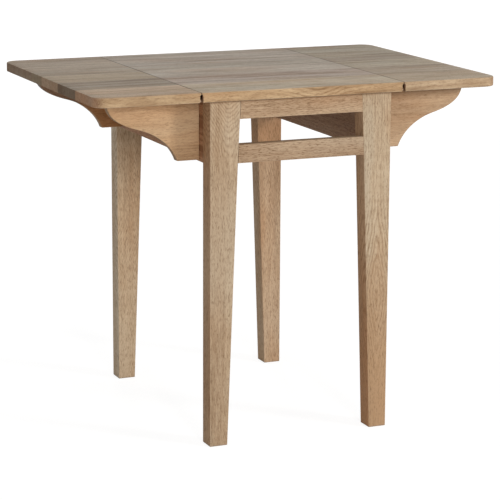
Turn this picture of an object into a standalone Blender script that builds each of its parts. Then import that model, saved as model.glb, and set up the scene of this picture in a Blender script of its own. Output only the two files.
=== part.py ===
# Drop-leaf dining table: a fixed centre top, two hinged leaves and four ogee brackets that swing out under them.
# X runs across the leaves, -Y is the front, Z is up, and the origin lies on the floor under the middle of the top.
import math

import bmesh
import bpy
from mathutils import Matrix, Vector
from mathutils.geometry import interpolate_bezier

# Sizes in metres: the top
table_length = 0.919
table_depth = 0.638
table_height = 0.760
center_width = 0.462
top_thick = 0.021
leaf_corner = 0.030  # radius of the leaves' outer corners
top_round = 0.0025  # rounding along the edges of the top
joint_line = 0.0010  # hairline between centre and leaf on the upper face
slot_skin = 0.0030  # wood left over the hinge slot
slot_roof = 0.0035  # height of the slot's sloping roof

# Legs, rails and aprons
frame_setback = 0.0125  # from the top's front and back edges to the legs
leg_top_width = 0.0685
leg_foot_width = 0.0345
leg_depth = 0.041
rail_thick = 0.022
upper_rail_height = 0.0395
rail_gap = 0.0534
lower_rail_height = 0.0391
apron_thick = 0.022
apron_height = 0.1335
tenon_length = 0.022
tenon_thick = 0.009
tenon_shoulder = 0.006  # wood above and below a tenon
arris = 0.0012  # softened edge of legs, rails, aprons and brackets

# Cleats that hold the centre top to the aprons
cleat_width = 0.020
cleat_height = 0.022
cleat_inset = 0.060  # from leg to end of cleat
cleat_screws_each = 4
cleat_screw_grip = 0.013  # depth of screw in the top
cleat_head_radius = 0.0035
cleat_head_height = 0.0026
cleat_shank_radius = 0.0018

# Brackets
bracket_thick = 0.0187
bracket_setback = 0.0195  # from leg to bracket
bracket_height = 0.130
bracket_tip_gap = 0.047  # between the tips of a folded pair
foot_share = 0.242  # flat foot, as a share of the bracket's reach
nose_share = 0.354  # nose, from tip to the turn of the curve, as a share of the reach
nose_drop = 0.061
nose_bulge = 0.035  # how far the nose runs straight down
turn_share = 0.1975  # the curve's pull at its turn, as a share of the reach
turn_angle = math.radians(15.5)
foot_pull = 0.0336
foot_angle = math.radians(71.0)

# Continuous hinges of the leaves
leaf_knuckle_radius = 0.0034
leaf_pin_radius = 0.0013
leaf_plate_thick = 0.0011
leaf_hinge_inset = 0.0060  # from the table's edge to the hinge's end
leaf_knuckles = 15
leaf_hole_radius = 0.0009
leaf_sink_radius = 0.0017  # countersink of a screw hole

# Butt hinges of the brackets
bracket_hinge_length = 0.040
bracket_hinge_inset = 0.032  # from the bracket's top or bottom to the middle of a hinge
bracket_knuckle_radius = 0.0025
bracket_pin_radius = 0.0010
bracket_plate_thick = 0.0012
bracket_plate_width = 0.018
bracket_plate_gap = 0.0004  # between the plates of a closed hinge
bracket_pin_offset = 0.0005  # from the faces of bracket and apron to the pin's axis
bracket_knuckles = 3
bracket_hole_spacing = 0.022
bracket_hole_radius = 0.0013
bracket_sink_radius = 0.0025  # countersink of a screw hole

# Clearances
fit_gap = 0.0003  # between pieces that touch
stop_gap = 0.0004  # between a bracket's end and its apron
knuckle_gap = 0.0004  # between neighbouring knuckles
leaf_clear = 0.0004  # between a hanging leaf and a folded bracket
cut_over = 0.004  # how far a cutter runs past the wood

# Fineness of round forms
corner_steps = 8
edge_steps = 2
curve_steps = 12
knuckle_sides = 10
pin_sides = 8
hole_sides = 8

# Places that follow from the sizes
under_top = table_height - top_thick
joint_x = center_width / 2
pin_height = leaf_knuckle_radius  # the knuckles end level with the underside
slot_half = leaf_knuckle_radius + fit_gap
slot_apex = top_thick - slot_skin
slot_straight = slot_apex - slot_roof
overhang = pin_height + leaf_clear + bracket_thick + 2 * bracket_pin_offset
leg_x = joint_x - overhang
leg_y = table_depth / 2 - frame_setback
leg_height = under_top - fit_gap
apron_end = leg_y - leg_depth
apron_low = leg_height - apron_height
upper_low = leg_height - upper_rail_height
lower_high = upper_low - rail_gap
lower_low = lower_high - lower_rail_height
bracket_top = under_top - fit_gap
bracket_low = bracket_top - bracket_height
bracket_out_y = apron_end - bracket_setback
bracket_pin_x = leg_x + bracket_pin_offset
bracket_pin_y = bracket_out_y - bracket_thick - bracket_pin_offset
bracket_reach = bracket_pin_y + bracket_pin_offset - bracket_tip_gap / 2
pin_z = under_top + pin_height

colors = {
    "top": (0.36, 0.29, 0.21),
    "leg": (0.42, 0.29, 0.18),
    "rail": (0.43, 0.28, 0.16),
    "bracket": (0.46, 0.28, 0.14),
    "hidden": (0.33, 0.21, 0.12),
    "steel": (0.30, 0.28, 0.25),
}

for old in list(bpy.data.objects):
    bpy.data.objects.remove(old, do_unlink=True)
parts = bpy.data.collections.new("drop_leaf_table")
cutters = bpy.data.collections.new("cutters")
for group in (parts, cutters):
    bpy.context.scene.collection.children.link(group)


def paint(obj, color):
    mat = bpy.data.materials.new(obj.name)
    mat.use_nodes = True
    shader = mat.node_tree.nodes["Principled BSDF"]
    shader.inputs["Base Color"].default_value = (*colors[color], 1.0)
    shader.inputs["Roughness"].default_value = 0.35 if color == "steel" else 0.55
    shader.inputs["Metallic"].default_value = 1.0 if color == "steel" else 0.0
    obj.data.materials.append(mat)


def make(bm, name, color=None, origin=None):
    # A piece when it has a color, otherwise a cutter. The origin is the middle of its box unless one is given.
    bmesh.ops.recalc_face_normals(bm, faces=bm.faces[:])
    if origin is None:
        spans = [[v.co[i] for v in bm.verts] for i in range(3)]
        origin = Vector([(min(s) + max(s)) / 2 for s in spans])
    bmesh.ops.translate(bm, verts=bm.verts[:], vec=-Vector(origin))
    mesh = bpy.data.meshes.new(name)
    bm.to_mesh(mesh)
    bm.free()
    obj = bpy.data.objects.new(name, mesh)
    obj.location = origin
    if color:
        parts.objects.link(obj)
        paint(obj, color)
        mesh.shade_smooth()
        mesh.set_sharp_from_angle(angle=math.radians(35))
    else:
        cutters.objects.link(obj)
        obj.hide_render = True
        obj.display_type = "WIRE"
    return obj


def boolean(obj, tool, operation="DIFFERENCE"):
    mod = obj.modifiers.new(tool.name, "BOOLEAN")
    mod.operation = operation
    mod.solver = "EXACT"
    mod.object = tool


def add_box(bm, low, high, matrix=Matrix()):
    verts = bmesh.ops.create_cube(bm, size=1.0)["verts"]
    for v in verts:
        v.co = matrix @ Vector([low[i] if v.co[i] < 0 else high[i] for i in range(3)])
    return verts


def boxes(name, corners, color=None):
    bm = bmesh.new()
    for low, high, matrix in corners:
        add_box(bm, low, high, matrix)
    return make(bm, name, color)


def bevel(bm, edges, width, steps):
    bmesh.ops.bevel(
        bm, geom=list(edges), offset=width, offset_type="OFFSET", segments=steps,
        profile=0.5, affect="EDGES", clamp_overlap=True,
    )


def runs_along(edge, axis):
    return abs((edge.verts[0].co - edge.verts[1].co).normalized()[axis]) > 0.9


def turn(bm, profile, sides, matrix):
    # A closed turned body: the profile starts and ends on the local Z axis.
    line = [bm.verts.new(matrix @ Vector((r, 0.0, z))) for r, z in profile]
    edges = [bm.edges.new(pair) for pair in zip(line, line[1:])]
    axis = matrix.to_3x3() @ Vector((0.0, 0.0, 1.0))
    bmesh.ops.spin(
        bm, geom=line + edges, cent=matrix.translation, axis=axis,
        angle=math.tau, steps=sides, use_merge=True,
    )


def turned(name, profile, places, sides, color=None, origin=None):
    bm = bmesh.new()
    for place in places:
        turn(bm, profile, sides, place)
    bmesh.ops.remove_doubles(bm, verts=bm.verts[:], dist=1e-6)
    return make(bm, name, color, origin)


def extruded(outlines, thickness):
    # Flat outlines in XY, holes included, extruded both ways along Z.
    curve = bpy.data.curves.new("outline", "CURVE")
    curve.dimensions = "2D"
    curve.fill_mode = "BOTH"
    curve.extrude = thickness / 2
    for points in outlines:
        spline = curve.splines.new("POLY")
        spline.points.add(len(points) - 1)
        for spot, (x, y) in zip(spline.points, points):
            spot.co = (x, y, 0.0, 1.0)
        spline.use_cyclic_u = True
    guide = bpy.data.objects.new("outline", curve)
    cutters.objects.link(guide)
    graph = bpy.context.evaluated_depsgraph_get()
    mesh = bpy.data.meshes.new_from_object(guide.evaluated_get(graph))
    bpy.data.objects.remove(guide, do_unlink=True)
    bm = bmesh.new()
    bm.from_mesh(mesh)
    bpy.data.meshes.remove(mesh)
    bmesh.ops.remove_doubles(bm, verts=bm.verts[:], dist=1e-6)
    return bm


def arc(radius, start, end, steps):
    turns = [start + (end - start) * i / steps for i in range(steps + 1)]
    return [(radius * math.cos(t), radius * math.sin(t)) for t in turns]


class Hinge:
    # A butt hinge in its own frame: pin along Y, closed plates standing up along Z, the fixed plate at -X.
    # The plates' faces lie between inner and outer from the pin.
    def __init__(self, length, count, knuckle, pin, inner, outer, width, hole, sink):
        self.length, self.count = length, count
        self.knuckle, self.pin = knuckle, pin
        self.inner, self.outer, self.width = inner, outer, width
        self.hole, self.sink = hole, sink
        self.pitch = (length + knuckle_gap) / count

    def middles(self, first):
        start = -self.length / 2 + (self.pitch - knuckle_gap) / 2
        return [start + i * self.pitch for i in range(first, self.count, 2)]

    def plate(self, name, place, first, rows, color, origin=None):
        # Every second knuckle belongs to this plate, starting at the given one. Rows are the screw holes' places along Y.
        strip_low = self.knuckle + fit_gap
        joined = (self.width + strip_low) / 2
        start = math.acos(max(-1.0, -self.outer / self.knuckle))
        end = math.acos(-self.inner / self.knuckle) + math.tau
        outline = [(-self.outer, joined)] + arc(self.knuckle, start, end, knuckle_sides) + [(-self.inner, joined)]
        bore = arc(self.pin + fit_gap, 0.0, math.tau, pin_sides)[:-1]
        upright = Matrix(((1, 0, 0, 0), (0, 0, -1, 0), (0, 1, 0, 0), (0, 0, 0, 1)))
        knuckle = extruded([outline, bore], self.pitch - knuckle_gap)
        knuckle.transform(upright)
        mesh = bpy.data.meshes.new("knuckle")
        knuckle.to_mesh(mesh)
        knuckle.free()
        knuckles = bmesh.new()
        for middle in self.middles(first):
            known = len(knuckles.verts)
            knuckles.from_mesh(mesh)
            knuckles.verts.ensure_lookup_table()
            move = place @ Matrix.Translation((0, middle, 0))
            bmesh.ops.transform(knuckles, matrix=move, verts=knuckles.verts[known:])
        bpy.data.meshes.remove(mesh)
        strip = bmesh.new()
        low = (-self.outer, -self.length / 2, strip_low)
        add_box(strip, low, (-self.inner, self.length / 2, self.width), place)
        piece = make(strip, name, color, origin)
        boolean(piece, make(knuckles, name + "_knuckles"), "UNION")
        inward = Matrix.Rotation(math.radians(90), 4, "Y")
        rise = (self.width + self.knuckle) / 2
        seats = [place @ Matrix.Translation((-self.inner, y, rise)) @ inward for y in rows]
        thick = self.outer - self.inner
        profile = [(0.0, thick), (self.sink, thick), (self.sink, 0.0), (self.hole, -thick * 0.8)]
        profile += [(self.hole, -2 * thick), (0.0, -2 * thick)]
        boolean(piece, turned(name + "_screw_holes", profile, seats, hole_sides))
        return piece

    def make_pin(self, name, place, color):
        end = self.length / 2
        profile = [(0.0, end), (self.pin, end), (self.pin, -end), (0.0, -end)]
        lying = place @ Matrix.Rotation(math.radians(90), 4, "X")
        return turned(name, profile, [lying], pin_sides, color)

    def recess(self, places, name, wood):
        # Room for plate and barrel in a wood face that lies at -wood from the pin.
        half = self.length / 2 + fit_gap
        over = cut_over - wood
        room = self.knuckle + fit_gap
        plate = [((-self.outer - fit_gap, -half, 0.0), (over, half, self.width + fit_gap), p) for p in places]
        barrel = [((-room, -half, -room), (over, half, room), p) for p in places]
        return [boxes(name + "_plate_recess", plate), boxes(name + "_barrel_recess", barrel)]


def frame_of(x_axis, z_axis, origin):
    x_axis, z_axis = Vector(x_axis), Vector(z_axis)
    y_axis = z_axis.cross(x_axis)
    rows = Matrix((x_axis, y_axis, z_axis)).transposed().to_4x4()
    return Matrix.Translation(origin) @ rows


def parent_to(name, origin, children):
    # Moving pieces hang on an empty that stands on their joint's axis.
    empty = bpy.data.objects.new(name, None)
    empty.empty_display_size = 0.03
    empty.location = origin
    parts.objects.link(empty)
    for child in children:
        child.parent = empty
        child.matrix_parent_inverse = Matrix.Translation(origin).inverted()


def leg_width(z):
    return leg_foot_width + (leg_top_width - leg_foot_width) * z / leg_height


sides = {"left": -1, "right": 1}
ends = {"front": -1, "back": 1}

# Panels of the top
slot_cutters = {}
for side, sx in sides.items():
    outline = [(-slot_half, -cut_over), (slot_half, -cut_over), (slot_half, slot_straight)]
    outline += [(0.0, slot_apex), (-slot_half, slot_straight)]
    bm = extruded([outline], table_depth + 2 * cut_over)
    bm.transform(frame_of((1, 0, 0), (0, -1, 0), (sx * joint_x, 0, under_top)))
    slot_cutters[side] = make(bm, side + "_hinge_slot")


def panel(low_x, high_x, joints):
    # The rim is rounded all the way except along the joints, and corners away from the joints are rounded in plan.
    bm = bmesh.new()
    add_box(bm, (low_x, -table_depth / 2, under_top), (high_x, table_depth / 2, table_height))

    def at_joint(edge):
        return any(all(abs(v.co.x - x) < 1e-6 for v in edge.verts) for x in joints)

    bevel(bm, [e for e in bm.edges if runs_along(e, 2) and not at_joint(e)], leaf_corner, corner_steps)
    bevel(bm, [e for e in bm.edges if not runs_along(e, 2) and not at_joint(e)], top_round, edge_steps)
    return bm


inner_x = joint_x - joint_line / 2
outer_x = joint_x + joint_line / 2
center_top = make(panel(-inner_x, inner_x, (-inner_x, inner_x)), "center_top", "top")
leaves = {}
for side, sx in sides.items():
    low_x, high_x = sorted((sx * outer_x, sx * table_length / 2))
    bm = panel(low_x, high_x, (sx * outer_x,))
    leaves[side] = make(bm, side + "_leaf", "top", (sx * joint_x, 0, pin_z))
    for piece in (center_top, leaves[side]):
        boolean(piece, slot_cutters[side])

# Legs taper on the side that faces the middle of the table
legs = {}
for end, sy in ends.items():
    for side, sx in sides.items():
        bm = bmesh.new()
        low_y, high_y = sorted((sy * leg_y, sy * apron_end))
        verts = add_box(bm, (0.0, low_y, 0.0), (1.0, high_y, leg_height))
        for v in verts:
            v.co.x = sx * (leg_x - (leg_width(v.co.z) if v.co.x < 0.5 else 0.0))
        bmesh.ops.recalc_face_normals(bm, faces=bm.faces[:])
        bevel(bm, bm.edges[:], arris, edge_steps)
        legs[end, side] = make(bm, f"{end}_{side}_leg", "leg")

# Rails with sloping shoulders that follow the legs, and tenons in the legs
mortises = {key: [] for key in legs}
for end, sy in ends.items():
    for level, low_z, high_z in (("upper", upper_low, leg_height), ("lower", lower_low, lower_high)):
        name = f"{end}_{level}_rail"
        bm = bmesh.new()
        low_y, high_y = sorted((sy * leg_y, sy * (leg_y - rail_thick)))
        for v in add_box(bm, (-1.0, low_y, low_z), (1.0, high_y, high_z)):
            v.co.x = math.copysign(leg_x - leg_width(v.co.z) - fit_gap, v.co.x)
        bevel(bm, [e for e in bm.edges if runs_along(e, 0)], arris, edge_steps)
        rail = make(bm, name, "rail")
        mid_y = sy * (leg_y - rail_thick / 2)
        reach = leg_x - leg_width(low_z) + tenon_length
        root = leg_x - leg_width(high_z) - tenon_length
        tenons = []
        for side, sx in sides.items():
            low_x, high_x = sorted((sx * root, sx * reach))
            low = (low_x, mid_y - tenon_thick / 2, low_z + tenon_shoulder)
            high = (high_x, mid_y + tenon_thick / 2, high_z - tenon_shoulder)
            tenons.append((low, high, Matrix()))
            mortises[end, side].append((low, high))
        boolean(rail, boxes(name + "_tenons", tenons), "UNION")

# Aprons, flush with the legs' outer faces
aprons = {}
for side, sx in sides.items():
    name = side + "_apron"
    bm = bmesh.new()
    low_x, high_x = sorted((sx * leg_x, sx * (leg_x - apron_thick)))
    body = apron_end - fit_gap
    add_box(bm, (low_x, -body, apron_low), (high_x, body, leg_height))
    bevel(bm, [e for e in bm.edges if runs_along(e, 1)], arris, edge_steps)
    aprons[side] = make(bm, name, "rail")
    mid_x = sx * (leg_x - apron_thick / 2)
    tenons = []
    for end, sy in ends.items():
        low_y, high_y = sorted((sy * (apron_end - tenon_length), sy * (apron_end + tenon_length)))
        low = (mid_x - tenon_thick / 2, low_y, apron_low + tenon_shoulder)
        high = (mid_x + tenon_thick / 2, high_y, leg_height - tenon_shoulder)
        tenons.append((low, high, Matrix()))
        mortises[end, side].append((low, high))
    boolean(aprons[side], boxes(name + "_tenons", tenons), "UNION")

# Mortises, a little larger than their tenons all round
gap = Vector((fit_gap, fit_gap, fit_gap))
for (end, side), sockets in mortises.items():
    holes = [(Vector(low) - gap, Vector(high) + gap, Matrix()) for low, high in sockets]
    boolean(legs[end, side], boxes(f"{end}_{side}_mortises", holes))

# Cleats glued to the aprons and screwed up into the centre top
cleat_half = apron_end - cleat_inset
cleat_top = under_top - fit_gap
cleat_low = cleat_top - cleat_height
screw_length = cleat_height + cleat_screw_grip
screw_profile = [(0.0, 0.0), (cleat_head_radius, 0.0), (cleat_shank_radius, -cleat_head_height)]
screw_profile += [(cleat_shank_radius, -screw_length), (0.0, -screw_length)]
hole_profile = [(0.0, cut_over), (cleat_head_radius + fit_gap, cut_over), (cleat_head_radius + fit_gap, 0.0)]
hole_profile += [(cleat_shank_radius + fit_gap, -cleat_head_height)]
hole_profile += [(cleat_shank_radius + fit_gap, -screw_length - fit_gap), (0.0, -screw_length - fit_gap)]
upward = Matrix.Rotation(math.radians(180), 4, "X")
for side, sx in sides.items():
    wall = leg_x - apron_thick - fit_gap
    low_x, high_x = sorted((sx * wall, sx * (wall - cleat_width)))
    bm = bmesh.new()
    add_box(bm, (low_x, -cleat_half, cleat_low), (high_x, cleat_half, cleat_top))
    bevel(bm, [e for e in bm.edges if runs_along(e, 1)], arris, 1)
    cleat = make(bm, side + "_cleat", "hidden")
    step = 2 * cleat_half / cleat_screws_each
    mid_x = sx * (wall - cleat_width / 2)
    rows = [-cleat_half + (i + 0.5) * step for i in range(cleat_screws_each)]
    seats = [Matrix.Translation((mid_x, y, cleat_low)) @ upward for y in rows]
    hole = turned(side + "_cleat_screw_holes", hole_profile, seats, hole_sides)
    for wood in (cleat, center_top):
        boolean(wood, hole)
    for i, seat in enumerate(seats):
        turned(f"{side}_cleat_screw_{i + 1}", screw_profile, [seat], hole_sides, "steel")

# Continuous hinges of the leaves: one screw hole over each knuckle
leaf_hinge = Hinge(
    table_depth - 2 * leaf_hinge_inset, leaf_knuckles, leaf_knuckle_radius, leaf_pin_radius,
    leaf_knuckle_radius - leaf_plate_thick, leaf_knuckle_radius, slot_straight - pin_height - fit_gap,
    leaf_hole_radius, leaf_sink_radius,
)
for side, sx in sides.items():
    name = side + "_leaf_hinge"
    axis = Vector((sx * joint_x, 0, pin_z))
    toward_center = frame_of((sx, 0, 0), (0, 0, 1), axis)
    toward_leaf = frame_of((-sx, 0, 0), (0, 0, 1), axis)
    leaf_hinge.plate(name + "_fixed_plate", toward_center, 0, leaf_hinge.middles(0), "steel")
    plate = leaf_hinge.plate(name + "_moving_plate", toward_leaf, 1, leaf_hinge.middles(1), "steel", axis)
    leaf_hinge.make_pin(name + "_pin", toward_center, "steel")
    parent_to(side + "_leaf_joint", axis, [leaves[side], plate])

# Brackets: an ogee outline, hung on two butt hinges
waist = (bracket_reach * (1 - nose_share), -nose_drop)
turn_reach = bracket_reach * turn_share
pull = (turn_reach * math.cos(turn_angle), turn_reach * math.sin(turn_angle))
foot = (bracket_reach * foot_share, -bracket_height)


def curve_between(a, pull_a, pull_b, b):
    points = interpolate_bezier(*(Vector((*p, 0.0)) for p in (a, pull_a, pull_b, b)), curve_steps + 1)
    return [(p.x, p.y) for p in points]


nose = curve_between(
    (bracket_reach, 0.0), (bracket_reach, -nose_bulge), (waist[0] + pull[0], waist[1] + pull[1]), waist,
)
hollow = curve_between(
    waist, (waist[0] - pull[0], waist[1] - pull[1]),
    (foot[0] + foot_pull * math.cos(foot_angle), foot[1] + foot_pull * math.sin(foot_angle)), foot,
)
bracket_outline = [(stop_gap, 0.0)] + nose + hollow[1:] + [(stop_gap, -bracket_height)]

bracket_hinge = Hinge(
    bracket_hinge_length, bracket_knuckles, bracket_knuckle_radius, bracket_pin_radius,
    bracket_plate_gap / 2, bracket_plate_gap / 2 + bracket_plate_thick, bracket_plate_width,
    bracket_hole_radius, bracket_sink_radius,
)
hinge_levels = {"upper": bracket_top - bracket_hinge_inset, "lower": bracket_low + bracket_hinge_inset}
hole_rows = (-bracket_hole_spacing / 2, bracket_hole_spacing / 2)
for end, sy in ends.items():
    for side, sx in sides.items():
        name = f"{end}_{side}_bracket"
        out, fold = Vector((sx, 0, 0)), Vector((0, -sy, 0))
        axis = Vector((sx * bracket_pin_x, sy * bracket_pin_y, bracket_top))
        bm = extruded([bracket_outline], bracket_thick)
        bmesh.ops.dissolve_limit(bm, angle_limit=math.radians(0.5), verts=bm.verts[:], edges=bm.edges[:])
        mid_y = sy * (bracket_out_y - bracket_thick / 2)
        spread = Matrix(((sx, 0, 0, 0), (0, 0, -sx, 0), (0, 1, 0, 0), (0, 0, 0, 1)))
        bm.transform(Matrix.Translation((sx * leg_x, mid_y, bracket_top)) @ spread)
        bracket = make(bm, name, "bracket", axis)
        soft = bracket.modifiers.new("arris", "BEVEL")
        soft.width = arris
        soft.segments = edge_steps
        soft.limit_method = "ANGLE"
        soft.angle_limit = math.radians(40)
        spots = [Vector((axis.x, axis.y, z)) for z in hinge_levels.values()]
        fixed_places = [frame_of(out, fold, spot) for spot in spots]
        moving_places = [frame_of(fold, out, spot) for spot in spots]
        for kind, places, wood in (("fixed", fixed_places, aprons[side]), ("moving", moving_places, bracket)):
            for tool in bracket_hinge.recess(places, f"{name}_{kind}", bracket_pin_offset):
                boolean(wood, tool)
        moving = [bracket]
        for level, fixed, swung in zip(hinge_levels, fixed_places, moving_places):
            stem = f"{name}_{level}_hinge"
            bracket_hinge.plate(stem + "_fixed_plate", fixed, 0, hole_rows, "steel")
            moving.append(bracket_hinge.plate(stem + "_moving_plate", swung, 1, hole_rows, "steel", axis))
            bracket_hinge.make_pin(stem + "_pin", fixed, "steel")
        parent_to(name + "_joint", axis, moving)
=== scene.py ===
import math

import bmesh
import bpy
from mathutils import Matrix, Vector


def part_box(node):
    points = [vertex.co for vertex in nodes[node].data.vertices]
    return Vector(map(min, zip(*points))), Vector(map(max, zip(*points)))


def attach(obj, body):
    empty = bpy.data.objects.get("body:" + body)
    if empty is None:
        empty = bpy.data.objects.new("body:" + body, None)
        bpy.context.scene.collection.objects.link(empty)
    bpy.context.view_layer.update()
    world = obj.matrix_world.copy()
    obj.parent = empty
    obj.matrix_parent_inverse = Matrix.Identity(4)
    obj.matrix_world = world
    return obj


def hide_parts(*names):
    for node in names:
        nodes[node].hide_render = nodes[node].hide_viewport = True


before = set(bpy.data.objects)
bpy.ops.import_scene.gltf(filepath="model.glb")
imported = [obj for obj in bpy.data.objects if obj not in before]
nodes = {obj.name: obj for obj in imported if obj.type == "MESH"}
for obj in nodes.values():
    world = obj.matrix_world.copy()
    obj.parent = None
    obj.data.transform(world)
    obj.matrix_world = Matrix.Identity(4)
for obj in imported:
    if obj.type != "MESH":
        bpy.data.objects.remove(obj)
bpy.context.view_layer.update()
print("frame loaded:", len(nodes), "nodes")

scene = bpy.context.scene
scene.view_settings.view_transform = "Standard"

# Camera, where the photograph was taken from
cameraView = {
    "place": (-1.8136, -4.2644, 1.3658),  # metres
    "azimuth": 23.198,  # degrees to the left of straight ahead
    "elevation": 12.376,  # degrees of looking down
    "roll": 0.280,
    "lens": 151.483,  # mm on a square sensor
    "sensor": 36.0,
}


def makeCamera(view):
    data = bpy.data.cameras.new("camera")
    data.sensor_width = view["sensor"]
    data.lens = view["lens"]
    camera = bpy.data.objects.new("camera", data)
    turn = Matrix.Rotation(math.radians(-view["azimuth"]), 4, "Z")
    tilt = Matrix.Rotation(math.radians(90 - view["elevation"]), 4, "X")
    roll = Matrix.Rotation(math.radians(view["roll"]), 4, "Z")
    camera.matrix_world = Matrix.Translation(view["place"]) @ turn @ tilt @ roll
    scene.collection.objects.link(camera)
    scene.camera = camera


makeCamera(cameraView)


class Wire:
    # an output socket of a node tree, so that sums on values read as plain arithmetic
    def __init__(self, tree, socket=None):
        self.tree = tree
        self.socket = socket

    def make(self, kind, settings=None, sockets=None, out=0):
        node = self.tree.nodes.new(kind)
        for name, value in (settings or {}).items():
            if name == "stops":
                self.fillRamp(node.color_ramp, value)
            else:
                setattr(node, name, value)
        for name, value in (sockets or {}).items():
            for one in value if isinstance(value, list) else [value]:
                if isinstance(one, Wire):
                    self.tree.links.new(one.socket, node.inputs[name])
                else:
                    node.inputs[name].default_value = one
        if isinstance(out, tuple):
            return [Wire(self.tree, node.outputs[o]) for o in out]
        return Wire(self.tree, node.outputs[out])

    @staticmethod
    def fillRamp(ramp, stops):
        ramp.elements[0].position = stops[0][0]
        ramp.elements[1].position = stops[-1][0]
        for position, _ in stops[1:-1]:
            ramp.elements.new(position)
        for element, (position, colour) in zip(ramp.elements, stops):
            element.color = (*colour, 1.0)

    def maths(self, operation, first, second=0.0):
        return self.make("ShaderNodeMath", {"operation": operation}, {0: first, 1: second})

    def __add__(self, other):
        return self.maths("ADD", self, other)

    def __sub__(self, other):
        return self.maths("SUBTRACT", self, other)

    def __rsub__(self, other):
        return self.maths("SUBTRACT", other, self)

    def __mul__(self, other):
        return self.maths("MULTIPLY", self, other)

    __radd__ = __add__
    __rmul__ = __mul__

    def size(self):
        return self.maths("ABSOLUTE", self)

    def fade(self, low, high):
        # 0 below low, 1 above high, or the other way round when low is the larger
        sockets = {"Value": self, "From Min": low, "From Max": high}
        return self.make("ShaderNodeMapRange", {"interpolation_type": "SMOOTHSTEP"}, sockets)

    def scaled(self, factor):
        # a colour made lighter or darker
        return self.make("ShaderNodeVectorMath", {"operation": "SCALE"}, {0: self, 3: factor})

    def blend(self, factor, first, second):
        # a colour between two
        colours = [c if isinstance(c, Wire) else (*c, 1.0) for c in (first, second)]
        settings = {"data_type": "RGBA", "clamp_factor": True}
        return self.make("ShaderNodeMix", settings, {0: factor, 6: colours[0], 7: colours[1]}, 2)

    def mixed(self, colour, factor):
        return self.blend(factor, self, colour)

    def tinted(self, colour):
        return self.make("ShaderNodeVectorMath", {"operation": "MULTIPLY"}, {0: self, 1: colour})


# Floor, backdrop light and lamps
studio = {
    "floorSize": 60.0,
    "floorColour": (0.80, 0.80, 0.80),
    "shadowShare": 0.4,  # how much of the floor's own shade the camera sees
    "floorGlow": 0.855,  # brings the floor up to white for the camera
    "skyLight": 0.325,
    "lampAim": (0.0, 0.0, 0.45),
    "lamps": {
        "frontLight": {"place": (-0.9, -10.0, 2.40), "size": (1.5, 2.8), "power": 358.0},
        "sideLight": {"place": (6.8, -7.4, 2.45), "size": (1.8, 2.8), "power": 475.0},
        "fillLight": {"place": (-8.5, -5.0, 1.50), "size": (3.0, 3.0), "power": 95.0},
        "backLight": {"place": (2.5, 10.0, 2.40), "size": (2.5, 2.8), "power": 230.0},
    },
}


def seenRays(start):
    # 1 for rays from the camera, in gloss and through clear things
    kinds = ("Is Camera Ray", "Is Glossy Ray", "Is Transmission Ray")
    camera, gloss, clear = start.make("ShaderNodeLightPath", out=kinds)
    return camera.maths("MAXIMUM", camera.maths("MAXIMUM", camera, gloss), clear)


def makeStudio(spec):
    world = bpy.data.worlds.new("studio")
    scene.world = world
    world.use_nodes = True
    start = Wire(world.node_tree)
    strength = seenRays(start) * (1 - spec["skyLight"]) + spec["skyLight"]
    background = world.node_tree.nodes["Background"]
    background.inputs["Color"].default_value = (1.0, 1.0, 1.0, 1.0)
    world.node_tree.links.new(strength.socket, background.inputs["Strength"])

    half = spec["floorSize"] / 2
    mesh = bpy.data.meshes.new("floor")
    corners = [(-half, -half, 0), (half, -half, 0), (half, half, 0), (-half, half, 0)]
    mesh.from_pydata(corners, [], [(0, 1, 2, 3)])
    floor = bpy.data.objects.new("floor", mesh)
    scene.collection.objects.link(floor)
    mat = bpy.data.materials.new("paleFloor")
    mat.use_nodes = True
    mesh.materials.append(mat)
    tree = mat.node_tree
    tree.nodes.clear()
    start = Wire(tree)
    white = (1.0, 1.0, 1.0, 1.0)
    plain = start.make("ShaderNodeBsdfDiffuse", None, {"Color": (*spec["floorColour"], 1.0)})
    dimmed = [c * spec["shadowShare"] for c in spec["floorColour"]]
    shade = start.make("ShaderNodeBsdfDiffuse", None, {"Color": (*dimmed, 1.0)})
    glow = start.make("ShaderNodeEmission", None, {"Color": white, "Strength": spec["floorGlow"]})
    bright = start.make("ShaderNodeAddShader", None, {0: shade, 1: glow})
    shown = start.make("ShaderNodeMixShader", None, {0: seenRays(start), 1: plain, 2: bright})
    start.make("ShaderNodeOutputMaterial", None, {"Surface": shown}, ())

    for name, lamp in spec["lamps"].items():
        data = bpy.data.lights.new(name, "AREA")
        data.energy = lamp["power"]
        data.shape = "RECTANGLE"
        data.size, data.size_y = lamp["size"]
        light = bpy.data.objects.new(name, data)
        light.location = lamp["place"]
        aim = Vector(spec["lampAim"]) - light.location
        light.rotation_euler = aim.to_track_quat("-Z", "Y").to_euler()
        light.visible_camera = False
        light.visible_glossy = False
        scene.collection.objects.link(light)


makeStudio(studio)
print("studio made")

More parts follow.
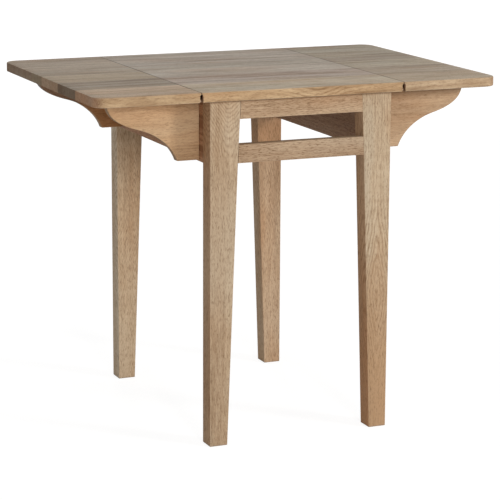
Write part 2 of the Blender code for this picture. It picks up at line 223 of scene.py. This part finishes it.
# Wood: growth rings round a pith, fibres, flecks, pores, curl and slow changes of tone
woodGrain = {
    # noise cells per metre along and across the grain
    "bend": (1.6, 5.0),  # slow waves of the fibres
    "ringSway": (1.7, 8.0),
    "ringTremor": (22.0, 70.0),
    "broad": (2.0, 75.0),  # streaks
    "narrow": (24.0, 290.0),
    "fine": (60.0, 1300.0),
    "patch": (2.6, 9.0),
    "hue": (3.4, 16.0),
    "fleck": (100.0, 600.0),  # short dark dashes
    "streak": (2.4, 120.0),  # a few long dark lines
    "pore": (95.0, 850.0),
    "shortPore": (210.0, 1700.0),
    "curl": (85.0, 10.0),  # ripples across the grain
    # between which values of its noise each one fades in
    "fleckCut": (0.52, 0.70),
    "streakCut": (0.62, 0.76),
    "poreCut": (0.60, 0.70),
    "curlCut": (0.42, 0.62),
    "warmCut": (0.50, 0.72),
    "paleCut": (0.48, 0.30),
    # rings
    "bendSize": 0.010,  # metres
    "ring": 0.0036,  # width of a year's growth
    "ringWobble": 2.2,
    "ringShake": 1.5,
    "ringSharp": 2.5,
    "ringMean": 0.3,
    "archTip": 0.0006,  # rounds the tips of the arches
    "archSoft": 0.8,
    "archFade": (1.5, 0.7),  # shares of an arch's reach
    "archShare": 0.8,  # how much bolder the rings are where they arch
    # faces, by how squarely they cut the grain
    "endTurn": (0.30, 0.95),
    "rimTurn": (0.90, 0.60),
    "rimPlain": 0.7,  # share of the streaks that a rim lacks
    "edgeWearAndHighlightTurn": (0.45, 0.95),
    "bandCore": 0.2,  # share of a band at its full strength
    "ringCrowd": 0.05,  # more flecks and pores in the dark of a ring
    "patchCrowd": -0.12,
    "shortShare": 0.6,
    # painted shade under the top, and scuffs at the feet
    "creaseHigh": 0.7387,
    "creaseTall": 0.0075,
    "creaseDirt": 0.75,
    "scuffTall": 0.004,
    "scuffs": 0.55,
    # surface
    "fibreRise": 0.5,
    "fleckSink": 0.3,
    "bumpDeep": 0.0006,
    "poreRough": 0.12,
    "fibreRough": 0.2,
}
noiseLayers = {  # where each noise starts from a piece's seed, and its detail
    "bend": (0.0, 1.0),
    "ringSway": (5.1, 1.0),
    "ringTremor": (6.6, 3.0),
    "broad": (1.3, 5.0),
    "narrow": (2.9, 3.0),
    "fine": (4.2, 2.0),
    "patch": (7.7, 2.0),
    "hue": (9.4, 2.0),
    "curl": (3.3, 1.0),
    "streak": (17.0, 2.0),
    "fleck": (15.0, 2.0),
    "pore": (11.0, 1.0),
    "shortPore": (13.0, 1.0),
}


def grainNoise(grain, stretch, seed, detail):
    along, across, deep = grain
    sockets = {0: along * stretch[0] + seed, 1: across * stretch[1] + seed * 1.7, 2: deep * stretch[1]}
    vector = along.make("ShaderNodeCombineXYZ", None, sockets)
    return along.make("ShaderNodeTexNoise", None, {"Vector": vector, "Scale": 1.0, "Detail": detail})


def makeWood(name, spec):
    mat = bpy.data.materials.new(name)
    mat.use_nodes = True
    tree = mat.node_tree
    shader = tree.nodes["Principled BSDF"]
    place, facing = Wire(tree).make("ShaderNodeTexCoord", out=("Object", "Normal"))
    axes = place.make("ShaderNodeSeparateXYZ", None, {0: place}, (0, 1, 2))
    slopes = place.make("ShaderNodeSeparateXYZ", None, {0: facing}, (0, 1, 2))
    order = ["xyz".index(axis) for axis in spec["grain"]]
    along, across, deep = [axes[i] for i in order]
    cells = dict(woodGrain, **spec["cells"])
    endGrain = slopes[order[0]].size().fade(*cells["endTurn"])
    faceOn = slopes[order[2]].size()
    rim = faceOn.fade(*cells["rimTurn"])

    # boards glued edge to edge: each has its own tone, and its grain starts elsewhere
    tint, endTint, figure, glue = spec["tint"], spec["endTint"], spec["broad"], None
    boards = spec.get("boards")
    if boards:
        tint, endTint = boards["tints"][0], boards["endTints"][0]
        figures = [f * spec["broad"] for f in boards["figure"]]
        figure = figures[0]
        grimeWide = boards["grimeWide"]  # the hinged joints are grimy
        grime = (along.size() - boards["joint"]).size().fade(grimeWide, grimeWide * boards["grimeCore"])
        glueEdge, glueCore = [boards["glueLine"] * share for share in boards["glueFade"]]
        for i, seam in enumerate(boards["seams"]):
            past = across.maths("GREATER_THAN", across, seam)
            tint = across.blend(past, tint, boards["tints"][i + 1])
            endTint = across.blend(past, endTint, boards["endTints"][i + 1])
            figure = past * (figures[i + 1] - figures[i]) + figure
            line = (across - seam).size().fade(glueEdge, glueCore)
            glue = line if glue is None else glue + line
            along = along + past * boards["shift"]
            deep = deep + past * boards["tilt"]

    grain = (along, across, deep)

    def layer(kind):
        begin, detail = noiseLayers[kind]
        return grainNoise(grain, cells[kind], spec["seed"] + begin, detail)

    # fibres bend slowly
    across = across + (layer("bend") - 0.5) * cells["bendSize"] * spec["wave"]
    grain = (along, across, deep)

    # growth rings; where the trunk narrows they run out in pointed arches
    pithAcross, pithDeep = spec["pith"]
    middle, reach, taper = spec["arch"]
    sideways, inward = across - pithAcross, deep - pithDeep
    away = along.maths("SQRT", (along - middle) * (along - middle) + cells["archTip"])
    least = {0: away, 1: reach, 2: reach * cells["archSoft"]}
    narrowed = along.make("ShaderNodeMath", {"operation": "SMOOTH_MIN"}, least) * taper
    radius = across.maths("SQRT", sideways * sideways + inward * inward) + narrowed
    wobble = layer("ringSway") * cells["ringWobble"]
    wobble = layer("ringTremor") * cells["ringShake"] + wobble
    phase = (radius * (1 / (cells["ring"] * spec["ringScale"])) + wobble) * math.tau
    ring = across.maths("POWER", across.maths("SINE", phase) * 0.5 + 0.5, cells["ringSharp"])
    far, near = [reach * share for share in cells["archFade"]]
    shown = away.fade(far, near) * cells["archShare"] + (1 - cells["archShare"])

    broad, narrow, fine = layer("broad"), layer("narrow"), layer("fine")
    patch, hue = layer("patch"), layer("hue")
    curl = (layer("curl") - 0.5) * patch.fade(*cells["curlCut"])
    dark = ring - cells["ringMean"]
    value = (broad - 0.5) * (1 - rim * cells["rimPlain"]) * figure + (narrow - 0.5) * spec["narrow"]
    value = value + (fine - 0.5) * spec["fine"] - dark * (patch + 0.5) * shown * spec["rings"]
    value = value + (patch - 0.5) * spec["patches"] + curl * spec["curl"] + 0.5
    colour = value.make("ShaderNodeValToRGB", {"stops": spec["stops"]}, {0: value})
    colour = colour.mixed(spec["warm"], hue.fade(*cells["warmCut"]) * spec["warmth"])
    colour = colour.mixed(spec["pale"], hue.fade(*cells["paleCut"]) * spec["paleness"])
    for tone, centre, extent, strength in spec["bands"]:
        band = (along - centre).size().fade(extent, extent * cells["bandCore"])
        colour = colour.mixed(spec[tone], (patch + 0.5) * band * strength)

    # flecks and pores crowd in some rings and patches
    streaks = layer("streak").fade(*cells["streakCut"])
    colour = colour.mixed(spec["fleckColour"], streaks * spec["streaks"])
    crowd = dark * cells["ringCrowd"] + (patch - 0.5) * cells["patchCrowd"]
    flecks = (layer("fleck") + crowd).fade(*cells["fleckCut"])
    colour = colour.mixed(spec["fleckColour"], flecks * (1 - shown * spec["calm"]) * spec["flecks"])
    long = (layer("pore") + crowd).fade(*cells["poreCut"])
    short = (layer("shortPore") + crowd).fade(*cells["poreCut"])
    pores = long.maths("MAXIMUM", long, short * cells["shortShare"])
    colour = colour.mixed(spec["poreColour"], pores * spec["pores"])

    # the broad faces, the rims beside them and the end grain each have their own cast
    cast = colour.tinted(tint).mixed(colour.tinted(spec["rimTint"]), rim)
    colour = cast.mixed(colour.tinted(endTint), endGrain)
    height = (narrow - 0.5 + fine - 0.5) * cells["fibreRise"] - pores - flecks * cells["fleckSink"]
    if boards:
        colour = colour.mixed(boards["glueColour"], glue * boards["glueStrength"])
        grime = (patch.fade(*boards["grimeCut"]) * 0.5 + 0.5) * grime
        colour = colour.mixed(boards["grimeColour"], grime * boards["grimeStrength"])
        height = height - glue * boards["glueSink"]
    else:
        # painted shade: darkens the wood just under the top, where the top's shadow falls
        crease = axes[2].fade(cells["creaseHigh"] - cells["creaseTall"], cells["creaseHigh"])
        colour = colour.mixed(spec["poreColour"], crease * cells["creaseDirt"])
        scuff = axes[2].fade(cells["scuffTall"], 0.0)
        colour = colour.mixed(spec["scuffColour"], scuff * cells["scuffs"])

    # the rounded edges of the broad faces are rubbed pale, and the pale edge also paints the highlight
    # they catch
    square = 1 - faceOn * faceOn
    rubbed = (faceOn * across.maths("SQRT", square) * 2).fade(*cells["edgeWearAndHighlightTurn"])
    colour = colour.mixed(spec["rubbedColour"], rubbed * (broad + 0.2) * spec["rubbed"])
    tree.links.new(colour.socket, shader.inputs["Base Color"])

    rough = pores * cells["poreRough"] + (narrow - 0.5) * cells["fibreRough"] + spec["rough"]
    rough = rim * spec["rimRough"] + rough
    tree.links.new(rough.socket, shader.inputs["Roughness"])
    shader.inputs["Specular IOR Level"].default_value = spec["gloss"]
    relief = {"Strength": spec["bump"], "Distance": cells["bumpDeep"], "Height": height}
    bump = height.make("ShaderNodeBump", None, relief)
    tree.links.new(bump.socket, shader.inputs["Normal"])
    return mat


def dress(name, mat):
    nodes[name].material_slots[0].material = mat


plainWood = {
    "grain": "xyz",  # along, across, through
    "seed": 0.0,
    "cells": {},
    "wave": 1.0,
    "pith": (0.02, 0.06),
    "arch": (0.0, 0.1, 0.0),  # arches of the rings: middle along the grain, reach and taper
    "ringScale": 1.0,
    "calm": 0.0,  # how much of the flecks the arches lose
    "broad": 0.45,
    "narrow": 0.62,
    "fine": 0.35,
    "rings": 0.08,
    "patches": 0.50,
    "curl": 0.25,
    "stops": [
        (0.10, (0.235, 0.140, 0.075)),
        (0.38, (0.380, 0.250, 0.150)),
        (0.58, (0.475, 0.330, 0.208)),
        (0.90, (0.580, 0.430, 0.290)),
    ],
    "warm": (0.420, 0.235, 0.120),
    "warmth": 0.45,
    "pale": (0.520, 0.410, 0.290),
    # a grey-brown cast for painted shade, used by bands
    "grey": (0.300, 0.258, 0.245),
    "paleness": 0.35,
    "fleckColour": (0.200, 0.110, 0.055),
    "flecks": 0.68,
    "streaks": 0.0,
    "poreColour": (0.160, 0.085, 0.042),
    "pores": 0.50,
    "bands": (),  # stretches of another cast: its name, middle along the grain, reach and strength
    "tint": (1.0, 1.0, 1.0),
    "rimTint": (1.0, 1.0, 1.0),
    "endTint": (0.80, 0.78, 0.75),
    "scuffColour": (0.230, 0.190, 0.150),
    "rubbedColour": (0.600, 0.455, 0.320),
    "rubbed": 0.6,
    "rough": 0.62,
    "rimRough": 0.10,
    "gloss": 0.14,
    "bump": 0.25,
}

# Boards of the top run across all three panels, and each panel has aged a little differently
topBoards = {
    "seams": (-0.192, -0.0755, 0.035, 0.1065),
    "figure": (0.5, 1.0, 0.7, 1.1, 1.1),  # how bold the streaks of each board are
    "endTints": (
        (0.92, 0.81, 0.79), (0.40, 0.41, 0.43), (0.83, 0.83, 0.87),
        (0.64, 0.72, 0.77), (0.60, 0.62, 0.68),
    ),
    "shift": 0.83,
    "tilt": 0.047,
    "glueLine": 0.0004,
    "glueFade": (2.0, 0.5),  # shares of the glue line
    "glueSink": 1.5,
    "glueColour": (0.12, 0.075, 0.045),
    "glueStrength": 0.45,
    "joint": 0.231,  # from the middle of the table to a leaf's joint
    "grimeWide": 0.0020,
    "grimeCore": 0.3,
    "grimeCut": (0.38, 0.58),
    "grimeColour": (0.070, 0.046, 0.030),
    "grimeStrength": 1.0,
}
panelLooks = {
    "left_leaf": {
        "tints": (
            (1.33, 1.44, 1.60), (0.84, 0.97, 1.14), (1.11, 1.26, 1.37),
            (1.04, 1.24, 1.46), (1.07, 1.20, 1.35),
        ),
        "rimTint": (1.04, 1.04, 0.97),
    },
    "center_top": {
        "tints": (
            (1.30, 1.55, 1.81), (1.16, 1.32, 1.66), (1.30, 1.61, 2.07),
            (1.06, 1.27, 1.54), (1.16, 1.39, 1.74),
        ),
        "rimTint": (1.05, 1.02, 0.92),
    },
    "right_leaf": {
        "tints": (
            (1.17, 1.34, 1.52), (1.05, 1.21, 1.40), (1.16, 1.39, 1.59),
            (0.78, 0.84, 0.90), (1.01, 1.21, 1.37),
        ),
        "rimTint": (1.04, 1.08, 1.09),
    },
}
topCells = {"broad": (3.4, 40.0), "patch": (2.2, 9.0), "narrow": (15.0, 115.0)}
topWood = dict(plainWood, seed=3.0, cells=topCells, pith=(0.05, 0.90), arch=(0.03, 0.08, 0.16))
topWood.update(broad=1.4, narrow=0.85, rings=0.22, flecks=0.35, streaks=0.45, rubbed=0.3)
topWood.update(rough=0.55, rimRough=0.30, gloss=0.22)
for panel, look in panelLooks.items():
    panelWood = dict(topWood, rimTint=look["rimTint"], boards=dict(topBoards, tints=look["tints"]))
    dress(panel, makeWood(panel + "Wood", panelWood))

legLooks = {
    "front_left": {
        "seed": 21.0, "arch": (0.80, 0.15, 0.70), "ringScale": 1.5, "rings": 0.21, "calm": 0.4,
        "pithSide": 0.008, "pithDeep": 0.016, "cells": {"ringShake": 1.9},
        "tint": (0.99, 1.03, 1.06), "rimTint": (0.98, 0.89, 0.82), "bands": [("pale", 0.42, 0.22, 0.45)],
    },
    "front_right": {
        "seed": 34.0, "arch": (0.30, 0.17, 0.20), "ringScale": 1.8, "rings": 0.26, "pithSide": 0.009,
        "tint": (1.00, 1.08, 1.14), "rimTint": (1.03, 0.93, 0.85), "bands": [("warm", 0.08, 0.28, 0.75)],
    },
    "back_left": {
        "seed": 47.0, "arch": (0.40, 0.20, 0.25),
        "tint": (1.13, 1.17, 1.19), "rimTint": (1.24, 1.41, 1.58),
    },
    "back_right": {
        "seed": 58.0, "arch": (0.50, 0.20, 0.25),
        # the warm band high on the leg is painted shade under the rails
        "tint": (1.13, 1.12, 1.13), "bands": [("warm", 0.56, 0.08, 0.8)],
    },
}
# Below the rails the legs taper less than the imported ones, so their feet are fuller on the inner side
fullLeg = {
    "footGain": 0.0055,  # metres at the floor
    "merge": 0.00002,
    "pithSide": 0.005,  # from the middle of a leg to the pith of its wood
    "pithDeep": 0.003,  # from its front
}


def makeLeg(corner, spec, wood):
    packed = nodes[corner + "_leg"]
    low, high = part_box(packed.name)
    outer = low.x if corner.endswith("left") else high.x
    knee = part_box(corner.split("_")[0] + "_lower_rail")[0].z
    shape = bmesh.new()
    shape.from_mesh(packed.data)
    bmesh.ops.remove_doubles(shape, verts=shape.verts, dist=spec["merge"])
    parts = shape.verts[:] + shape.edges[:] + shape.faces[:]
    level = {"plane_co": (0, 0, knee), "plane_no": (0, 0, 1)}
    bmesh.ops.bisect_plane(shape, geom=parts, dist=spec["merge"], **level)
    below = [v for v in shape.verts if v.co.z < knee - spec["merge"]]
    footWidth = max(abs(v.co.x - outer) for v in below)
    for v in below:
        v.co.x += (v.co.x - outer) / footWidth * spec["footGain"] * (1 - v.co.z / knee)
    mesh = bpy.data.meshes.new(corner + "_full_leg")
    shape.to_mesh(mesh)
    shape.free()
    mesh.materials.clear()
    mesh.materials.append(wood)
    leg = bpy.data.objects.new(mesh.name, mesh)
    scene.collection.objects.link(leg)
    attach(leg, "frame")
    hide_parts(packed.name)
    return leg


legs = []
for corner, look in legLooks.items():
    low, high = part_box(corner + "_leg")
    middle = (low + high) / 2
    pithSide = look.get("pithSide", fullLeg["pithSide"])
    pithDeep = look.get("pithDeep", fullLeg["pithDeep"])
    legWood = dict(plainWood, grain="zxy", rings=0.18)
    legWood.update(look, pith=(middle.x + pithSide, low.y + pithDeep))
    legs.append(makeLeg(corner, fullLeg, makeWood(corner + "LegWood", legWood)))

railLooks = {
    "front_upper": {"seed": 71.0, "arch": (0.02, 0.10, 0.15), "tint": (1.05, 1.07, 1.09), "flecks": 0.70},
    "front_lower": {"seed": 82.0, "arch": (-0.04, 0.08, 0.15), "tint": (0.89, 0.89, 0.90), "flecks": 0.85},
    "back_upper": {"seed": 93.0, "arch": (0.05, 0.07, 0.15)},
    "back_lower": {"seed": 104.0, "arch": (0.00, 0.10, 0.15)},
}
for rail, look in railLooks.items():
    low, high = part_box(rail + "_rail")
    middle = (low + high) / 2
    railWood = dict(plainWood, grain="xzy", pith=(middle.z + 0.004, low.y + 0.006))
    railWood.update(look)
    dress(rail + "_rail", makeWood(rail + "RailWood", railWood))

apronLooks = {
    "left": {
        # the warm band across the strip between the front bracket and the leg is painted shade and reddish
        # bounce light
        "seed": 115.0, "tint": (0.97, 0.79, 0.71), "patches": 1.1, "bands": [("warm", -0.256, 0.03, 0.5)],
        "streaks": 0.9, "cells": {"streak": (2.4, 70.0), "streakCut": (0.50, 0.64)},
    },
    "right": {"seed": 126.0, "tint": (0.77, 0.68, 0.66)},
}
for side, look in apronLooks.items():
    low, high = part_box(side + "_apron")
    middle = (low + high) / 2
    apronWood = dict(plainWood, grain="yzx", pith=(middle.z, middle.x + 0.09))
    apronWood.update(look)
    dress(side + "_apron", makeWood(side + "ApronWood", apronWood))

bracketLooks = {
    "front_left": {
        # its dark rim tint paints the shade along its curved lower edge
        "seed": 137.0, "tint": (1.14, 1.05, 0.94), "rimTint": (0.58, 0.53, 0.45), "rubbed": 0.4,
    },
    "front_right": {
        # a taller, stronger painted shade under the leaf on this bracket
        "seed": 148.0, "tint": (1.03, 1.01, 0.99), "cells": {"creaseTall": 0.034, "creaseDirt": 0.8},
    },
    # the darker, redder tint and the grey band at the nose paint the shade this bracket stands in, behind
    # the front one
    "back_left": {"seed": 159.0, "tint": (0.90, 0.62, 0.40), "bands": [("grey", -0.42, 0.15, 2.5)]},
    "back_right": {"seed": 170.0, "tint": (1.00, 0.90, 0.82)},
}
for corner, look in bracketLooks.items():
    low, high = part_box(corner + "_bracket")
    middle = (low + high) / 2
    bracketWood = dict(plainWood, grain="xzy", pith=(middle.z + 0.03, middle.y + 0.07))
    # the brackets' strong pale edges are mostly a painted highlight on their rounded ends, beside real
    # wear
    bracketWood.update(broad=0.30, narrow=0.45, flecks=0.30, patches=0.60, rubbed=1.2)
    # the crease is painted shade along the top of every bracket, under the leaf
    bracketWood.update(rimTint=(0.90, 0.75, 0.60), cells={"creaseTall": 0.0115, "creaseDirt": 0.9})
    bracketWood.update(look)
    dress(corner + "_bracket", makeWood(corner + "BracketWood", bracketWood))

cleatWood = dict(plainWood, grain="yzx", seed=181.0, pores=0.35, gloss=0.15, rough=0.68)
for side in ("left", "right"):
    dress(side + "_cleat", makeWood(side + "CleatWood", cleatWood))
print("wood made")

# Steel of hinges and screws
steelLook = {
    "clean": (0.230, 0.140, 0.090),
    "dull": (0.100, 0.060, 0.038),
    "rough": 0.42,
    "wornRough": 0.22,
    "scratches": (900.0, 60.0),
    "tarnish": 160.0,
    "tarnishCut": (0.45, 0.70),
    "bump": 0.10,
    "bumpDeep": 0.0002,
}


def makeSteel(name, spec):
    mat = bpy.data.materials.new(name)
    mat.use_nodes = True
    tree = mat.node_tree
    shader = tree.nodes["Principled BSDF"]
    place = Wire(tree).make("ShaderNodeTexCoord", out="Object")
    x, y, z = place.make("ShaderNodeSeparateXYZ", None, {0: place}, (0, 1, 2))
    grain = (z, x, y)
    scratch = grainNoise(grain, spec["scratches"], 2.0, 3.0)
    cloud = {"Vector": place, "Scale": spec["tarnish"], "Detail": 3.0}
    worn = place.make("ShaderNodeTexNoise", None, cloud).fade(*spec["tarnishCut"])
    colour = worn.blend(worn * 0.7, spec["clean"], spec["dull"])
    colour = colour.scaled((scratch - 0.5) * 0.35 + 1.0)
    tree.links.new(colour.socket, shader.inputs["Base Color"])
    rough = worn * spec["wornRough"] + (scratch - 0.5) * 0.3 + spec["rough"]
    tree.links.new(rough.socket, shader.inputs["Roughness"])
    shader.inputs["Metallic"].default_value = 1.0
    relief = {"Strength": spec["bump"], "Distance": spec["bumpDeep"], "Height": scratch}
    bump = scratch.make("ShaderNodeBump", None, relief)
    tree.links.new(bump.socket, shader.inputs["Normal"])
    return mat


steelMat = makeSteel("hingeSteel", steelLook)
# turning keeps the pins bright
pinLook = dict(steelLook, clean=(0.62, 0.44, 0.30), dull=(0.34, 0.22, 0.14))
pinMat = makeSteel("pinSteel", pinLook)
for name in nodes:
    if "hinge" in name or "screw" in name:
        dress(name, pinMat if name.endswith("_pin") else steelMat)
print("steel made")

# Countersunk screws in the hinge plates, one mesh for each body
hingeScrews = {
    "headDepth": 0.75,  # shares of the head's radius
    "shankRadius": 0.50,
    "shankLength": 1.6,
    "recessWidth": 0.24,
    "recessLength": 1.15,
    "recessDepth": 0.42,
    "shankOverlap": 0.05,
    "headSides": 14,
    "shankSides": 8,
    "seed": 5,
    "leafHead": 0.00158,  # metres
    "leafPlate": 0.0011,
    "leafKnuckles": 15,
    "knuckleGap": 0.0004,
    "bracketHead": 0.00235,
    "bracketPlateGap": 0.0004,
    "bracketRise": 0.01025,  # from the pin to a row of screws
    "bracketSpacing": 0.022,
}


def makeScrewTree(spec):
    tree = bpy.data.node_groups.new("hingeScrews", "GeometryNodeTree")
    tree.interface.new_socket("Geometry", in_out="OUTPUT", socket_type="NodeSocketGeometry")
    tree.interface.new_socket("Geometry", in_out="INPUT", socket_type="NodeSocketGeometry")
    inputs = {}

    def addInput(name, kind):
        socket = tree.interface.new_socket(name, in_out="INPUT", socket_type="NodeSocket" + kind)
        inputs[name] = socket.identifier

    for name in ("headDepth", "shankRadius", "shankLength", "recessWidth", "recessLength", "recessDepth"):
        addInput(name, "Float")
    addInput("seed", "Int")
    addInput("steel", "Material")
    start = Wire(tree)
    wires = start.make("NodeGroupInput", out=tuple(range(9)))
    spots, depth, shank, length, wide, long, deep, seed, steel = wires

    def moved(shape, z):
        offset = start.make("ShaderNodeCombineXYZ", None, {2: z})
        return start.make("GeometryNodeTransform", None, {"Geometry": shape, "Translation": offset})

    cone = {"Vertices": spec["headSides"], "Radius Top": 1.0, "Radius Bottom": shank, "Depth": depth}
    head = moved(start.make("GeometryNodeMeshCone", None, cone), depth * -1.0)
    rod = {"Vertices": spec["shankSides"], "Radius": shank, "Depth": length}
    drop = (depth + length * 0.5 - spec["shankOverlap"]) * -1.0
    stem = moved(start.make("GeometryNodeMeshCylinder", None, rod), drop)
    bars = []
    for sizes in ({0: long, 1: wide, 2: deep * 2}, {0: wide, 1: long, 2: deep * 2}):
        bar = start.make("ShaderNodeCombineXYZ", None, sizes)
        bars.append(start.make("GeometryNodeMeshCube", None, {"Size": bar}))
    cut = {"Mesh 1": head, "Mesh 2": bars}
    head = start.make("GeometryNodeMeshBoolean", {"operation": "DIFFERENCE"}, cut)
    screw = start.make("GeometryNodeJoinGeometry", None, {0: [head, stem]})

    stored = "GeometryNodeInputNamedAttribute"
    facing = start.make(stored, {"data_type": "FLOAT_VECTOR"}, {"Name": "facing"})
    size = start.make(stored, {"data_type": "FLOAT"}, {"Name": "headRadius"})
    upright = start.make("FunctionNodeAlignRotationToVector", {"axis": "Z"}, {"Vector": facing})
    between = {2: 0.0, 3: math.tau, 8: seed}
    angle = start.make("FunctionNodeRandomValue", {"data_type": "FLOAT"}, between, 1)
    turn = {"Axis": (0.0, 0.0, 1.0), "Angle": angle}
    spin = start.make("FunctionNodeAxisAngleToRotation", None, turn)
    turned = {"Rotation": upright, "Rotate By": spin}
    rotation = start.make("FunctionNodeRotateRotation", {"rotation_space": "LOCAL"}, turned)
    placed = {"Points": spots, "Instance": screw, "Rotation": rotation, "Scale": size}
    screws = start.make("GeometryNodeInstanceOnPoints", None, placed)
    screws = start.make("GeometryNodeRealizeInstances", None, {"Geometry": screws})
    screws = start.make("GeometryNodeSetMaterial", None, {"Geometry": screws, "Material": steel})
    start.make("NodeGroupOutput", None, {0: screws}, ())
    return tree, inputs


def screwSpots(spec):
    # (place, facing, head radius) of every screw, by body
    spots = {}
    for side, sx in (("left", -1), ("right", 1)):
        name = side + "_leaf_hinge_"
        low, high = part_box(name + "pin")
        pin = (low + high) / 2
        low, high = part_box(name + "fixed_plate")
        inner = pin.z - low.z - spec["leafPlate"]
        rise = (high.z - low.z) / 2
        pitch = (high.y - low.y + spec["knuckleGap"]) / spec["leafKnuckles"]
        for i in range(spec["leafKnuckles"]):
            y = low.y + (i + 0.5) * pitch - spec["knuckleGap"] / 2
            way = sx if i % 2 == 0 else -sx
            spot = Vector((pin.x - way * inner, y, pin.z + rise))
            body = "frame" if i % 2 == 0 else side + "_leaf_body"
            spots.setdefault(body, []).append((spot, Vector((way, 0, 0)), spec["leafHead"]))
        for end, sy in (("front", -1), ("back", 1)):
            for level in ("upper", "lower"):
                low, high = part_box(f"{end}_{side}_bracket_{level}_hinge_pin")
                pin = (low + high) / 2
                gap, rise = spec["bracketPlateGap"] / 2, spec["bracketRise"]
                for dz in (-spec["bracketSpacing"] / 2, spec["bracketSpacing"] / 2):
                    spot = pin + Vector((-sx * gap, -sy * rise, dz))
                    spots["frame"].append((spot, Vector((sx, 0, 0)), spec["bracketHead"]))
                    spot = pin + Vector((sx * rise, sy * gap, dz))
                    body = f"{end}_{side}_bracket_body"
                    spots.setdefault(body, []).append((spot, Vector((0, -sy, 0)), spec["bracketHead"]))
    return spots


screwTree, screwInputs = makeScrewTree(hingeScrews)
for body, spots in screwSpots(hingeScrews).items():
    mesh = bpy.data.meshes.new(body + "Spots")
    mesh.from_pydata([s[0] for s in spots], [], [])
    facing = mesh.attributes.new("facing", "FLOAT_VECTOR", "POINT")
    facing.data.foreach_set("vector", [c for s in spots for c in s[1]])
    radius = mesh.attributes.new("headRadius", "FLOAT", "POINT")
    radius.data.foreach_set("value", [s[2] for s in spots])
    screws = bpy.data.objects.new(body + "_hinge_screws", mesh)
    modifier = screws.modifiers.new("hingeScrews", "NODES")
    modifier.node_group = screwTree
    for name, identifier in screwInputs.items():
        modifier[identifier] = steelMat if name == "steel" else hingeScrews[name]
    scene.collection.objects.link(screws)
    graph = bpy.context.evaluated_depsgraph_get()
    solid = bpy.data.meshes.new_from_object(screws.evaluated_get(graph))
    screws.modifiers.clear()
    screws.data = solid
    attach(screws, body)
    print("screws on", body + ":", len(spots), "with", len(solid.polygons), "faces")

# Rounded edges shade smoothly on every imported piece, and corners stay crisp
edgeShading = {"merge": 0.00002, "crisp": 32.0}


def makeShading(spec):
    tree = bpy.data.node_groups.new("edgeShading", "GeometryNodeTree")
    tree.interface.new_socket("Geometry", in_out="INPUT", socket_type="NodeSocketGeometry")
    crisp = tree.interface.new_socket("Crisp Angle", in_out="INPUT", socket_type="NodeSocketFloat")
    tree.interface.new_socket("Geometry", in_out="OUTPUT", socket_type="NodeSocketGeometry")
    start = Wire(tree)
    skin, angle = start.make("NodeGroupInput", out=(0, 1))
    normals = {"Geometry": skin, "Name": "custom_normal"}
    skin = skin.make("GeometryNodeRemoveAttribute", None, normals)
    doubles = {"Geometry": skin, "Distance": spec["merge"]}
    skin = skin.make("GeometryNodeMergeByDistance", None, doubles)
    bend = skin.make("GeometryNodeInputMeshEdgeAngle", out="Unsigned Angle")
    sharp = bend.make("FunctionNodeCompare", {"operation": "GREATER_THAN"}, {0: bend, 1: angle})
    smooth = {"Geometry": skin, "Shade Smooth": True}
    skin = skin.make("GeometryNodeSetShadeSmooth", {"domain": "FACE"}, smooth)
    creased = {"Geometry": skin, "Selection": sharp, "Shade Smooth": False}
    skin = skin.make("GeometryNodeSetShadeSmooth", {"domain": "EDGE"}, creased)
    skin.make("NodeGroupOutput", None, {0: skin}, ())
    return tree, crisp.identifier


shadingTree, crispInput = makeShading(edgeShading)
for piece in legs + list(nodes.values()):
    modifier = piece.modifiers.new("edgeShading", "NODES")
    modifier.node_group = shadingTree
    modifier[crispInput] = math.radians(edgeShading["crisp"])
print("edges shaded")
